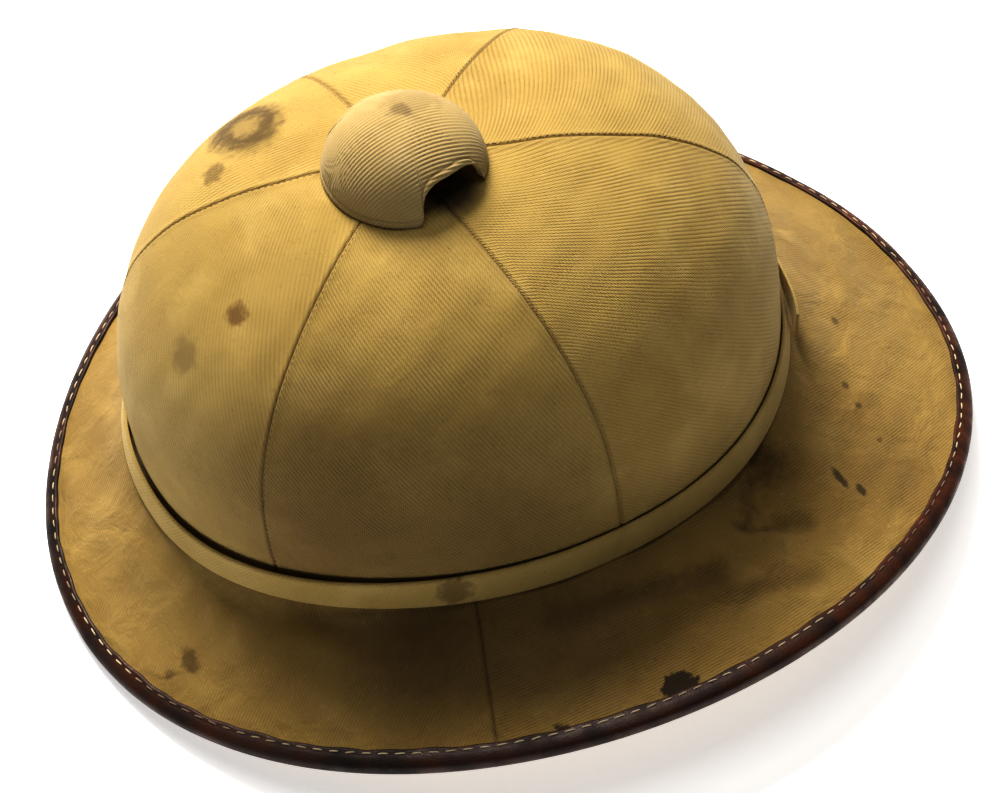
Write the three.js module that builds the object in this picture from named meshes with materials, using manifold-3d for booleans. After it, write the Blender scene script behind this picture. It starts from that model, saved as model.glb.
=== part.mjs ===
// A cloth-covered pith helmet: a moulded shell, six crown gores, a two-piece brim cover,
// a folded hat band, a leather brim binding and a ventilator cap on a plain collar.
// Millimetres, +Z up. The front points along -Y and the wearer's left along +X.
// The helmet rests on the front and rear of its brim, on the plane z = 0.
// Every ring is walked by one angle: 0 at the rear, 90 at the wearer's left, 180 at the front.
import * as THREE from 'three';
import { mergeVertices } from 'three/addons/utils/BufferGeometryUtils.js';
import Module from 'manifold-3d';

const degrees = Math.PI / 180;

// Crown: an egg-shaped dome that leans a little forward over its own base line.
const crownSeat = [-8, -24.5, 53];
const crownPitch = 2.1;
const crownHalfWidth = 97;
const crownHeight = 96.5;
const crownLean = 9;
const crownEgg = 0.07;
const outlinePower = 2.12;
const baseWave = 3;
// Reach of the base line from the crown's middle, and how square its upright section is
// near the top (dome) and near the foot (wall).
const crownEnds = {
  front: { reach: 111, dome: 2.43, wall: 1.97 },
  side: { reach: 0, dome: 3.09, wall: 2.0 },
  rear: { reach: 123, dome: 3.1, wall: 2.62 },
};

// Brim: its edge droops to the ground at both ends and stands higher on the wearer's left.
const brimHalfLength = 173.4;
const brimHalfWidth = 146.2;
const brimRightBulge = 8;
const brimCentreX = 3.8;
const edgeHeight = 15;
const edgeDroop = 11.6;
const edgeSideRise = 7;
const edgeRest = 3.8;
const edgeTwist = 10;
const rootOut = 1.6;
const rootDrop = 10.4;
const rootSlope = { out: 4, down: 6 };
const flarePoint = { back: 0.5, rise: 0.35 };
// Dents and troughs of the brim: where round, how far out (0 root, 1 edge), spreads, depth.
const brimDents = [
  { round: 132, out: 0.22, spreadRound: 26, spreadOut: 0.14, depth: 2.6 },
  { round: 63, out: 0.25, spreadRound: 8, spreadOut: 0.17, depth: 3.2 },
  { round: 60, out: 0.56, spreadRound: 6, spreadOut: 0.14, depth: 1.6 },
  { round: 50, out: 0.42, spreadRound: 6, spreadOut: 0.25, depth: -1.2 },
  { round: 73, out: 0.55, spreadRound: 7, spreadOut: 0.2, depth: -1.2 },
  { round: 205, out: 0.45, spreadRound: 16, spreadOut: 0.25, depth: 1.4 },
  { round: 30, out: 0.5, spreadRound: 14, spreadOut: 0.3, depth: 1.6 },
];

// Walls and gaps.
const clothThick = 1.2;
const gap = 0.3;
const shellWall = 6;
const brimWallRoot = 6;
const brimWallEdge = 2;
const goreHem = 8;
const ventHoleRadius = 9;

// Seams, as angles round the crown, and the gore that starts at each.
const gores = [
  { name: 'gore_rear_left', from: 17, to: 84.5 },
  { name: 'gore_front_left', from: 84.5, to: 145 },
  { name: 'gore_front', from: 145, to: 211 },
  { name: 'gore_front_right', from: 211, to: 269 },
  { name: 'gore_rear_right', from: 269, to: 317 },
  { name: 'gore_rear', from: 317, to: 377 },
];
const brimSeams = { left: 109, right: 251 };

// Hat band: a folded strip whose end laps outside its start and gapes a little.
const band = {
  thick: 1.1,
  topGap: 0.5,
  frontGape: 1.6,
  gapeAt: 152,
  gapeSpread: 40,
  foot: 3.2,
  height: 11.3,
  start: 14,
  end: 388,
  lapFrom: 364,
  lapLift: 1.9,
  endBulge: 3,
};

// Leather binding folded round the brim's edge.
const binding = { cover: 5, nose: 1.9, thick: 1.1 };

// Ventilator cap with an arch on each side, and the collar that carries it.
const vent = {
  radius: 26.5,
  height: 19,
  wall: 2.2,
  power: 2.2,
  round: 76,
  archWidth: 25.5,
  archHeight: 10.5,
  archPower: 3,
};
// The arches' curve starts this far below the crown's top.
const archDrop = 3;
const collar = { outer: 6, inner: 4, below: 9, above: 16 };

const columnsPerGore = 7;
const crownRows = 9;
const risePower = 1.5;
const brimRows = [0, 0.07, 0.16, 0.3, 0.48, 0.66, 0.84, 1];

const vec = (x, y, z) => new THREE.Vector3(x, y, z);
const signedPower = (value, power) => Math.sign(value) * Math.abs(value) ** (2 / power);
const bell = (distance, spread) => Math.exp(-((distance / spread) ** 2));
const turnApart = (a, b) => ((((a - b) % 360) + 540) % 360) - 180;
const smooth = (x) => {
  const t = Math.min(Math.max(x, 0), 1);
  return t * t * (3 - 2 * t);
};

// Point of the crown's base line, before the crown is tipped and seated.
function baseLine(round) {
  const c = Math.cos(round * degrees);
  const s = Math.sin(round * degrees);
  const reach = c > 0 ? crownEnds.rear.reach : crownEnds.front.reach;
  const x = crownHalfWidth * signedPower(s, outlinePower) * (1 + crownEgg * c);
  return vec(x, reach * signedPower(c, outlinePower), 0);
}

// The crown's squareness round the helmet, blended between front, sides and rear.
function blendEnds(round, column) {
  const c = Math.cos(round * degrees);
  const s = Math.sin(round * degrees);
  const end = c > 0 ? crownEnds.rear : crownEnds.front;
  return end[column] * c * c + crownEnds.side[column] * s * s;
}

// Tips the crown forward and sets it on its seat.
function seatCrown(point) {
  point.applyAxisAngle(vec(1, 0, 0), crownPitch * degrees);
  return point.add(vec(...crownSeat));
}

// Outer face of the crown. rise runs from -1 (foot of the skirt) over 0 (base line) to 1 (top).
function crownSkin(round, rise) {
  const turn = 90 * degrees * Math.max(rise, 0) ** risePower;
  const out = Math.max(Math.cos(turn), 0) ** (2 / blendEnds(round, 'wall'));
  const up = Math.sin(turn) ** (2 / blendEnds(round, 'dome'));
  const point = baseLine(round).multiplyScalar(out);
  point.y -= crownLean * up;
  point.z = crownHeight * up + baseWave * Math.cos(3 * round * degrees) * (1 - up);
  point.z += Math.min(rise, 0) * goreHem;
  return seatCrown(point);
}

// A point beside the base line: so far out along the outline's normal, and so far below.
function besideBase(round, out, down) {
  const ahead = baseLine(round + 0.5).sub(baseLine(round - 0.5));
  const normal = vec(-ahead.y, ahead.x, 0).normalize();
  const point = baseLine(round).addScaledVector(normal, out);
  point.z = baseWave * Math.cos(3 * round * degrees) - down;
  return seatCrown(point);
}

// Upper edge of the brim under the binding. It fans back from the crown's sides.
function brimEdge(round) {
  const fanned = (round + edgeTwist * Math.sin(round * degrees)) * degrees;
  const c = Math.cos(fanned);
  const s = Math.sin(fanned);
  const bulge = brimRightBulge * Math.max(-s, 0) ** 4;
  const height = edgeHeight + edgeSideRise * s - edgeDroop * Math.cos(2 * fanned);
  return vec(brimCentreX + brimHalfWidth * s - bulge, brimHalfLength * c, Math.max(height, edgeRest));
}

// Outer face of the brim, out from its root under the band (0) to its edge (1).
function brimSkin(round, out) {
  const root = besideBase(round, rootOut, rootDrop);
  const turn = besideBase(round, rootOut + rootSlope.out, rootDrop + rootSlope.down);
  const edge = brimEdge(round);
  const flare = edge.clone().lerp(turn, flarePoint.back);
  flare.z = edge.z + (turn.z - edge.z) * flarePoint.rise;
  const point = new THREE.CubicBezierCurve3(root, turn, flare, edge).getPoint(out);
  for (const dent of brimDents) {
    const near = bell(turnApart(round, dent.round), dent.spreadRound) * bell(out - dent.out, dent.spreadOut);
    point.z -= dent.depth * near * smooth(out / 0.12) * smooth((1 - out) / 0.2);
  }
  return point;
}

// Unit normal of a skin, pointing out of the helmet.
function skinNormal(skin, round, along, low, high) {
  const step = 0.004;
  const sideways = skin(round + 0.2, along).sub(skin(round - 0.2, along));
  const a = skin(round, Math.max(along - step, low));
  const b = skin(round, Math.min(along + step, high));
  return b.sub(a).cross(sideways).normalize().multiplyScalar(skin === crownSkin ? 1 : -1);
}

const crownPoint = (round, rise, depth) =>
  crownSkin(round, rise).addScaledVector(skinNormal(crownSkin, round, rise, -1, 1), -depth);
const brimPoint = (round, out, depth) =>
  brimSkin(round, out).addScaledVector(skinNormal(brimSkin, round, out, 0, 1), -depth);

// A closed skin through ring-shaped sections. An open run of sections is closed at both ends,
// where each point of a section's first half faces one of its second half. Both halves split
// their quads along the same diagonal, so that neighbouring layers stay parallel.
function loft(sections, closedRound) {
  const corners = [];
  const face = (a, b, c) => {
    if (a.distanceTo(b) > 1e-4 && b.distanceTo(c) > 1e-4 && c.distanceTo(a) > 1e-4) corners.push(a, b, c);
  };
  const size = sections[0].length;
  const runs = closedRound ? sections.length : sections.length - 1;
  for (let i = 0; i < runs; i += 1) {
    const here = sections[i];
    const next = sections[(i + 1) % sections.length];
    for (let k = 0; k < size; k += 1) {
      const m = (k + 1) % size;
      const [a, b] = k < size / 2 ? [next[m], here[k]] : [here[m], next[k]];
      face(here[k], next[k], a);
      face(b, next[m], here[m]);
    }
  }
  if (!closedRound) {
    const last = sections[sections.length - 1];
    for (let k = 0; k < size / 2 - 1; k += 1) {
      const m = size - 1 - k;
      face(sections[0][k], sections[0][k + 1], sections[0][m - 1]);
      face(sections[0][k], sections[0][m - 1], sections[0][m]);
      face(last[k], last[m - 1], last[k + 1]);
      face(last[k], last[m], last[m - 1]);
    }
  }
  return mergeVertices(new THREE.BufferGeometry().setFromPoints(corners), 1e-4);
}

// Angles round the helmet shared by every ring, so that the layers' facets lie parallel.
const rounds = gores.flatMap(({ from, to }) =>
  Array.from({ length: columnsPerGore }, (_, i) => from + ((to - from) * i) / columnsPerGore));
rounds.push(...Object.values(brimSeams));
rounds.sort((a, b) => a - b);
const roundsBetween = (from, to) => {
  const inside = rounds.concat(rounds.map((r) => r + 360), rounds.map((r) => r - 360));
  return [from, ...inside.filter((r) => r > from + 1 && r < to - 1).sort((a, b) => a - b), to];
};
// Rows of the crown from the vent hole down to the foot of its skirt.
function crownRises(round) {
  const share = ventHoleRadius / baseLine(round).length();
  const turn = Math.acos(share ** (blendEnds(round, 'wall') / 2));
  const top = (turn / (90 * degrees)) ** (1 / risePower);
  return [...Array.from({ length: crownRows + 1 }, (_, i) => top * (1 - i / crownRows)), -1];
}

// One gore: cloth from the hem inside the band to the vent hole, short of both seams.
function gore({ from, to }) {
  const column = (round, lean) => {
    const outside = [];
    const inside = [];
    for (const rise of crownRises(round)) {
      const point = crownSkin(round, rise);
      const radius = Math.hypot(point.x - crownSeat[0], point.y - crownSeat[1] + crownLean);
      const edge = round + (lean * (gap * 0.6)) / radius / degrees;
      outside.push(crownPoint(edge, rise, 0));
      inside.unshift(crownPoint(edge, rise, clothThick));
    }
    return [...outside, ...inside];
  };
  const list = roundsBetween(from, to);
  return loft(list.map((round, i) => column(round, i === 0 ? 1 : i === list.length - 1 ? -1 : 0)), false);
}

// The moulded shell: crown wall and brim in one, with the vent hole at the top.
function shell() {
  const under = clothThick + gap;
  const thickAt = (out) => brimWallEdge + (brimWallRoot - brimWallEdge) * (1 - out) ** 2;
  return loft(rounds.map((round) => {
    const outside = crownRises(round).map((rise) => crownPoint(round, rise, under));
    const inside = crownRises(round).map((rise) => crownPoint(round, rise, under + shellWall)).reverse();
    const top = brimRows.map((out) => brimPoint(round, out, under));
    const bottom = brimRows.map((out) => brimPoint(round, out, under + thickAt(out))).reverse();
    return [...outside, ...top, ...bottom, ...inside];
  }), true);
}

function brimCover(from, to) {
  const apart = gap * 0.6;
  return loft(roundsBetween(from, to).map((round, i, list) => {
    const lean = i === 0 ? 1 : i === list.length - 1 ? -1 : 0;
    const edge = round + (lean * apart) / crownHalfWidth / degrees;
    const outside = brimRows.map((out) => brimPoint(edge, out, 0));
    const inside = brimRows.map((out) => brimPoint(edge, out, clothThick)).reverse();
    return [...outside, ...inside];
  }), false);
}

// How far the band's top edge stands off the crown.
const bandStandOff = (round) =>
  band.topGap + band.frontGape * bell(turnApart(round, band.gapeAt), band.gapeSpread);

function hatBand() {
  const list = roundsBetween(band.start, band.end);
  return loft(list.map((round) => {
    const lift = band.lapLift * smooth((round - band.lapFrom) / 12)
      + band.endBulge * smooth((round - band.lapFrom - 8) / (band.end - band.lapFrom - 8));
    const row = (share, extra) => {
      const out = bandStandOff(round) * (1 - share) + band.foot * share + lift * (1 - 0.5 * share) + extra;
      return besideBase(round, out, band.height * share);
    };
    const shares = [0, 0.35, 0.7, 1];
    return [...shares.map((share) => row(share, band.thick)), ...shares.map((share) => row(share, 0)).reverse()];
  }), false);
}

function brimBinding() {
  const depth = clothThick + gap + brimWallEdge;
  const { cover, nose, thick } = binding;
  const flangeLift = gap * 2;
  // Section: outward from the brim's edge, and up from its upper face.
  const outer = [
    { out: -cover, up: flangeLift + thick * 0.8 },
    { out: -cover * 0.4, up: gap + thick },
    { out: nose * 0.6, up: gap + thick * 0.5 },
    { out: nose, up: -depth * 0.35 },
    { out: nose * 0.9, up: -depth - gap },
    { out: nose * 0.1, up: -depth - gap - thick },
    { out: -cover, up: -depth - gap - thick * 0.8 },
  ];
  const inner = [
    { out: -cover, up: flangeLift },
    { out: -cover * 0.4, up: gap },
    { out: gap, up: gap },
    { out: gap, up: -depth * 0.35 },
    { out: gap, up: -depth * 0.8 },
    { out: gap, up: -depth - gap },
    { out: -cover, up: -depth - gap },
  ].reverse();
  return loft(rounds.map((round) => {
    const edge = brimSkin(round, 1);
    const outward = edge.clone().sub(brimSkin(round, 0.97)).normalize();
    const upward = skinNormal(brimSkin, round, 1, 0, 1);
    return [...outer, ...inner].map(({ out, up }) => {
      const point = edge.clone().addScaledVector(outward, out).addScaledVector(upward, up);
      point.z = Math.max(point.z, 0);
      return point;
    });
  }), true);
}

// The place on the crown's outer face at a radius from its top.
function crownTop(round, radius) {
  const base = baseLine(round);
  const out = radius / base.length();
  const up = (1 - out ** blendEnds(round, 'wall')) ** (1 / blendEnds(round, 'dome'));
  const point = base.multiplyScalar(out);
  point.y -= crownLean * up;
  point.z = crownHeight * up;
  return seatCrown(point);
}

function toManifold(wasm, geometry) {
  const plain = geometry.clone();
  plain.deleteAttribute('normal');
  plain.deleteAttribute('uv');
  const merged = mergeVertices(plain, 1e-4);
  return new wasm.Manifold(new wasm.Mesh({
    numProp: 3,
    vertProperties: new Float32Array(merged.attributes.position.array),
    triVerts: new Uint32Array(merged.index.array),
  }));
}

function fromManifold(solid) {
  const { vertProperties, triVerts } = solid.getMesh();
  const geometry = new THREE.BufferGeometry();
  geometry.setAttribute('position', new THREE.BufferAttribute(vertProperties, 3));
  geometry.setIndex(new THREE.BufferAttribute(triVerts, 1));
  return geometry;
}

// Low dome over the crown's top, its rim following the crown, with the side arches cut out.
function ventCap(wasm) {
  const steps = 28;
  const rows = [0, 0.25, 0.48, 0.68, 0.84, 0.95, 1];
  const middle = crownTop(0, 0);
  const peak = middle.z;
  const sections = Array.from({ length: steps }, (_, i) => {
    const round = (360 * i) / steps;
    const rim = crownTop(round, vent.radius).z + gap;
    const dome = (radius, height) => rows.map((share) => {
      const point = crownTop(round, radius * share);
      point.z = rim + (peak - rim + height) * (1 - share ** vent.power) ** 0.5;
      return point;
    });
    return [...dome(vent.radius, vent.height), ...dome(vent.radius - vent.wall, vent.height - vent.wall).reverse()];
  });
  const cap = toManifold(wasm, loft(sections, true));
  const arch = new THREE.CylinderGeometry(vent.archWidth / 2, vent.archWidth / 2, vent.radius * 4, 24);
  const corners = arch.attributes.position;
  const squared = (value) => (vent.archWidth / 2) * signedPower(value / (vent.archWidth / 2), vent.archPower);
  for (let i = 0; i < corners.count; i += 1) {
    corners.setX(i, squared(corners.getX(i)));
    corners.setZ(i, squared(corners.getZ(i)));
  }
  arch.scale(1, 1, (vent.archHeight + archDrop) / (vent.archWidth / 2));
  arch.rotateZ(-vent.round * degrees);
  arch.translate(middle.x, middle.y, middle.z - archDrop);
  return fromManifold(cap.subtract(toManifold(wasm, arch)));
}

function ventCollar() {
  const middle = crownTop(0, 0);
  const ring = new THREE.LatheGeometry([
    new THREE.Vector2(collar.inner, -collar.below),
    new THREE.Vector2(collar.outer, -collar.below),
    new THREE.Vector2(collar.outer, collar.above),
    new THREE.Vector2(collar.inner, collar.above),
    new THREE.Vector2(collar.inner, -collar.below),
  ], 20);
  ring.rotateX(90 * degrees);
  ring.translate(middle.x, middle.y, middle.z);
  return ring;
}

const wasm = await Module();
wasm.setup();

const finishes = {
  pith: { color: 0xb99b6b, roughness: 0.95 },
  cloth: { color: 0xa88643, roughness: 0.9 },
  bandCloth: { color: 0xab8a48, roughness: 0.9 },
  leather: { color: 0x3a1c10, roughness: 0.55 },
  collarWood: { color: 0x8a6f47, roughness: 0.8 },
};
const helmet = new THREE.Group();
function add(name, geometry, finish) {
  geometry.computeVertexNormals();
  const mesh = new THREE.Mesh(geometry, new THREE.MeshStandardMaterial({ ...finishes[finish], metalness: 0 }));
  mesh.name = name;
  helmet.add(mesh);
}

add('shell', shell(), 'pith');
for (const panel of gores) add(panel.name, gore(panel), 'cloth');
add('brim_cover_front', brimCover(brimSeams.left, brimSeams.right), 'cloth');
add('brim_cover_rear', brimCover(brimSeams.right, brimSeams.left + 360), 'cloth');
add('hat_band', hatBand(), 'bandCloth');
add('brim_binding', brimBinding(), 'leather');
add('vent_cap', ventCap(wasm), 'cloth');
add('vent_collar', ventCollar(), 'collarWood');

export default helmet;
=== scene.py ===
import math

import bmesh
import bpy
import numpy as np
from mathutils import Matrix, Vector


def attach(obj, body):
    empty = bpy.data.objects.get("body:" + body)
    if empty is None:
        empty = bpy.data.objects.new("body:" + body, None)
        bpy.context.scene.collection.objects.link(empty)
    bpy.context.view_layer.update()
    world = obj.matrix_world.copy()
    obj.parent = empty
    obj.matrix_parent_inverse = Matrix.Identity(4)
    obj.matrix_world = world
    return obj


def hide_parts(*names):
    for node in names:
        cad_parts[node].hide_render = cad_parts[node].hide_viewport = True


# A cloth-covered pith helmet. Metres, +Z up, the front points along -Y, the wearer's left along +X.
# Every ring is walked by one angle, round: 0 at the rear, 90 at the wearer's left, 180 at the front.
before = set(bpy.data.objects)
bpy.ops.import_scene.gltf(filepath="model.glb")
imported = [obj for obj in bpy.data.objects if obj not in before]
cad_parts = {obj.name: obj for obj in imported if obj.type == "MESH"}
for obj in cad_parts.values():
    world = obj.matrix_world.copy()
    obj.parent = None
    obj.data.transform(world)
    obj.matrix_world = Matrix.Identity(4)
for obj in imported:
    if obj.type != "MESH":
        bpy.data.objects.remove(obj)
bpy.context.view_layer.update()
print("frame loaded:", len(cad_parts), "nodes")

# The helmet's skins, the same ones that the solid model has.
crown = {
    "seat": (-0.008, -0.0245, 0.053),
    "pitch": 2.1,  # degrees forward
    "halfWidth": 0.097,
    "height": 0.0965,
    "lean": 0.009,
    "egg": 0.07,
    "outlinePower": 2.12,
    "baseWave": 0.003,
    "risePower": 1.5,
    "hem": 0.008,
    "ventHole": 0.009,
    "front": {"reach": 0.111, "dome": 2.43, "wall": 1.97},
    "side": {"dome": 3.09, "wall": 2.0},
    "rear": {"reach": 0.123, "dome": 3.1, "wall": 2.62},
}
brim = {
    "halfLength": 0.1734,
    "halfWidth": 0.1462,
    "rightBulge": 0.008,
    "centreX": 0.0038,
    "edgeHeight": 0.015,
    "edgeDroop": 0.0116,
    "edgeSideRise": 0.007,
    "edgeRest": 0.0038,
    "edgeTwist": 10,
    "rootOut": 0.0016,
    "rootDrop": 0.0104,
    "slopeOut": 0.004,
    "slopeDown": 0.006,
    "flareBack": 0.5,
    "flareRise": 0.35,
}
# dents of the brim: where round, how far out (0 root, 1 edge), spreads, depth
brimDents = [
    {"round": 132, "out": 0.22, "spreadRound": 26, "spreadOut": 0.14, "depth": 0.0026},
    {"round": 63, "out": 0.25, "spreadRound": 8, "spreadOut": 0.17, "depth": 0.0032},
    {"round": 60, "out": 0.56, "spreadRound": 6, "spreadOut": 0.14, "depth": 0.0016},
    {"round": 50, "out": 0.42, "spreadRound": 6, "spreadOut": 0.25, "depth": -0.0012},
    {"round": 73, "out": 0.55, "spreadRound": 7, "spreadOut": 0.2, "depth": -0.0012},
    {"round": 205, "out": 0.45, "spreadRound": 16, "spreadOut": 0.25, "depth": 0.0014},
    {"round": 30, "out": 0.5, "spreadRound": 14, "spreadOut": 0.3, "depth": 0.0016},
]
# short folds pinched into the brim: each from one place in plan to another, its spread and depth
brimFolds = [
    {"from": (0.080, 0.053), "to": (0.100, 0.039), "spread": 0.0032, "depth": 0.0020},
    {"from": (0.099, 0.034), "to": (0.109, 0.054), "spread": 0.0034, "depth": 0.0021},
    {"from": (0.105, 0.036), "to": (0.117, 0.034), "spread": 0.0038, "depth": -0.0015},
    {"from": (0.106, -0.022), "to": (0.114, 0.020), "spread": 0.0034, "depth": 0.0017},
    {"from": (0.112, -0.024), "to": (0.120, 0.024), "spread": 0.0044, "depth": -0.0012},
    {"from": (0.056, -0.114), "to": (0.084, -0.096), "spread": 0.0044, "depth": 0.0016},
    {"from": (0.100, -0.090), "to": (0.122, -0.058), "spread": 0.0046, "depth": 0.0008},
    {"from": (0.030, -0.140), "to": (0.052, -0.148), "spread": 0.0038, "depth": 0.0006},
    {"from": (0.126, 0.020), "to": (0.130, 0.048), "spread": 0.0036, "depth": 0.0006},
]
layers = {"cloth": 0.0012, "gap": 0.0003, "shellWall": 0.006, "brimRoot": 0.006, "brimEdge": 0.002}


def signedPower(value, power):
    return np.sign(value) * np.abs(value) ** (2 / power)


def bell(distance, spread):
    return np.exp(-((distance / spread) ** 2))


def turnApart(a, b):
    return (a - b + 180) % 360 - 180


def smooth(x):
    t = np.clip(x, 0, 1)
    return t * t * (3 - 2 * t)


def unit(vectors):
    return vectors / np.maximum(np.linalg.norm(vectors, axis=-1, keepdims=True), 1e-12)


def baseLine(around):
    c, s = np.cos(np.radians(around)), np.sin(np.radians(around))
    reach = np.where(c > 0, crown["rear"]["reach"], crown["front"]["reach"])
    x = crown["halfWidth"] * signedPower(s, crown["outlinePower"]) * (1 + crown["egg"] * c)
    return np.stack([x, reach * signedPower(c, crown["outlinePower"]), 0 * x], -1)


def blendEnds(around, column):
    c, s = np.cos(np.radians(around)), np.sin(np.radians(around))
    end = np.where(c > 0, crown["rear"][column], crown["front"][column])
    return end * c * c + crown["side"][column] * s * s


def seatCrown(points):
    turn = math.radians(crown["pitch"])
    x, y, z = points[..., 0], points[..., 1], points[..., 2]
    tipped = [x, y * math.cos(turn) - z * math.sin(turn), y * math.sin(turn) + z * math.cos(turn)]
    return np.stack(tipped, -1) + np.array(crown["seat"])


def crownSkin(around, rise):
    around, rise = np.broadcast_arrays(np.asarray(around, float), np.asarray(rise, float))
    turn = math.pi / 2 * np.clip(rise, 0, 1) ** crown["risePower"]
    out = np.maximum(np.cos(turn), 0) ** (2 / blendEnds(around, "wall"))
    up = np.sin(turn) ** (2 / blendEnds(around, "dome"))
    points = baseLine(around) * out[..., None]
    points[..., 1] -= crown["lean"] * up
    wave = crown["baseWave"] * np.cos(3 * np.radians(around)) * (1 - up)
    points[..., 2] = crown["height"] * up + wave + np.minimum(rise, 0) * crown["hem"]
    return seatCrown(points)


def besideBase(around, out, down):
    around, out, down = np.broadcast_arrays(*[np.asarray(v, float) for v in (around, out, down)])
    ahead = baseLine(around + 0.5) - baseLine(around - 0.5)
    normal = unit(np.stack([-ahead[..., 1], ahead[..., 0], 0 * out], -1))
    points = baseLine(around) + normal * out[..., None]
    points[..., 2] = crown["baseWave"] * np.cos(3 * np.radians(around)) - down
    return seatCrown(points)


def brimEdge(around):
    fanned = np.radians(around + brim["edgeTwist"] * np.sin(np.radians(around)))
    c, s = np.cos(fanned), np.sin(fanned)
    bulge = brim["rightBulge"] * np.maximum(-s, 0) ** 4
    height = brim["edgeHeight"] + brim["edgeSideRise"] * s - brim["edgeDroop"] * np.cos(2 * fanned)
    x = brim["centreX"] + brim["halfWidth"] * s - bulge
    return np.stack([x, brim["halfLength"] * c, np.maximum(height, brim["edgeRest"])], -1)


def brimSkin(around, out):
    around, out = np.broadcast_arrays(np.asarray(around, float), np.asarray(out, float))
    root = besideBase(around, brim["rootOut"], brim["rootDrop"])
    turn = besideBase(around, brim["rootOut"] + brim["slopeOut"], brim["rootDrop"] + brim["slopeDown"])
    edge = brimEdge(around)
    flare = edge + (turn - edge) * brim["flareBack"]
    flare[..., 2] = edge[..., 2] + (turn[..., 2] - edge[..., 2]) * brim["flareRise"]
    t = out[..., None]
    points = (1 - t) ** 3 * root + 3 * (1 - t) ** 2 * t * turn + 3 * (1 - t) * t**2 * flare + t**3 * edge
    for dent in brimDents:
        near = bell(turnApart(around, dent["round"]), dent["spreadRound"])
        near = near * bell(out - dent["out"], dent["spreadOut"])
        points[..., 2] -= dent["depth"] * near * smooth(out / 0.12) * smooth((1 - out) / 0.2)
    return points


def skinNormal(skin, around, along, low, high):
    step = 0.004
    sideways = skin(around + 0.2, along) - skin(around - 0.2, along)
    ahead = skin(around, np.minimum(along + step, high)) - skin(around, np.maximum(along - step, low))
    return unit(np.cross(ahead, sideways)) * (1 if skin is crownSkin else -1)


# slow unevenness of the hand-laid cloth, the same in every layer so that none cuts another
def unevenness(points):
    x, y, z = points[..., 0] * 100, points[..., 1] * 100, points[..., 2] * 100
    wide = np.sin(0.9 * x + 0.7 * y + 0.3) * np.sin(0.8 * y - 0.9 * z + 1.1)
    fine = np.sin(2.3 * x - 1.9 * z + 0.6) * np.sin(2.1 * y + 1.7 * x + 2.0)
    return 0.0004 * wide + 0.00016 * fine


# how far the brim's folds lift its cloth, by the distance in plan from each fold's line
def foldRelief(points):
    lift = 0
    for fold in brimFolds:
        start, run = np.array(fold["from"]), np.subtract(fold["to"], fold["from"])
        share = np.clip(((points[..., :2] - start) @ run) / (run @ run), 0, 1)
        away = np.linalg.norm(points[..., :2] - start - share[..., None] * run, axis=-1)
        lift = lift - fold["depth"] * bell(away, fold["spread"])
    return lift


def crownPoint(around, rise, depth):
    points = crownSkin(around, rise)
    lift = unevenness(points) * smooth(np.asarray(rise) * 6) - depth
    return points + skinNormal(crownSkin, around, rise, -1, 1) * np.asarray(lift)[..., None]


def brimPoint(around, out, depth):
    points = brimSkin(around, out)
    hold = smooth(np.asarray(out) / 0.1) * smooth((1 - np.asarray(out)) / 0.08)
    lift = (unevenness(points) * 1.6 + foldRelief(points)) * hold - depth
    return points + skinNormal(brimSkin, around, out, 0, 1) * np.asarray(lift)[..., None]


def crownTop(around, radius):
    base = baseLine(around)
    out = radius / np.linalg.norm(base, axis=-1)
    up = (1 - out ** blendEnds(around, "wall")) ** (1 / blendEnds(around, "dome"))
    points = base * out[..., None]
    points[..., 1] -= crown["lean"] * up
    points[..., 2] = crown["height"] * up
    return seatCrown(points)


# the rise at which the crown meets the vent hole
def topRise(around):
    share = crown["ventHole"] / np.linalg.norm(baseLine(around), axis=-1)
    turn = np.arccos(share ** (blendEnds(around, "wall") / 2))
    return (turn / (math.pi / 2)) ** (1 / crown["risePower"])


# A closed skin through ring-shaped sections, shape (sections, points, 3). An open run is closed
# at both ends, where each point of a section's first half faces one of its second half.
def loft(name, sections, closedRound=False, maps=None, sharp=40):
    count, size = sections.shape[:2]
    runs = count if closedRound else count - 1
    i, k = np.meshgrid(np.arange(runs), np.arange(size), indexing="ij")
    rows = np.stack([i, i + 1, i + 1, i], -1).reshape(-1, 4)
    columns = np.stack([k, k, (k + 1) % size, (k + 1) % size], -1).reshape(-1, 4)
    faces = (rows % count) * size + columns
    corners = [np.stack([rows, columns], -1)]
    if not closedRound:
        k = np.arange(size // 2 - 1)
        cap = np.stack([k, k + 1, size - 2 - k, size - 1 - k], -1)
        for row, turned in ((0, cap), (count - 1, cap[:, ::-1])):
            faces = np.vstack([faces, row * size + turned])
            corners.append(np.stack([np.full_like(turned, row), turned], -1))
    corners = np.vstack(corners)
    mesh = bpy.data.meshes.new(name)
    mesh.from_pydata(sections.reshape(-1, 3).tolist(), [], faces.tolist())
    for title, values in (maps or {}).items():
        layer = mesh.uv_layers.new(name=title)
        loops = values[corners[..., 0], corners[..., 1]].reshape(-1, 2)
        layer.data.foreach_set("uv", loops.astype(np.float32).ravel())
    return finishMesh(name, mesh, sharp)


# a section that runs along an outer face and back along the inner one
def wrapped(outside, inside):
    return np.concatenate([outside, inside[:, ::-1]], 1)


def finishMesh(name, mesh, sharp):
    edit = bmesh.new()
    edit.from_mesh(mesh)
    bmesh.ops.remove_doubles(edit, verts=edit.verts, dist=1e-6)
    bmesh.ops.dissolve_degenerate(edit, edges=edit.edges, dist=1e-7)
    bmesh.ops.recalc_face_normals(edit, faces=edit.faces)
    edit.to_mesh(mesh)
    edit.free()
    mesh.shade_smooth()
    mesh.set_sharp_from_angle(angle=math.radians(sharp))
    piece = bpy.data.objects.new(name, mesh)
    bpy.context.scene.collection.objects.link(piece)
    return piece


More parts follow.
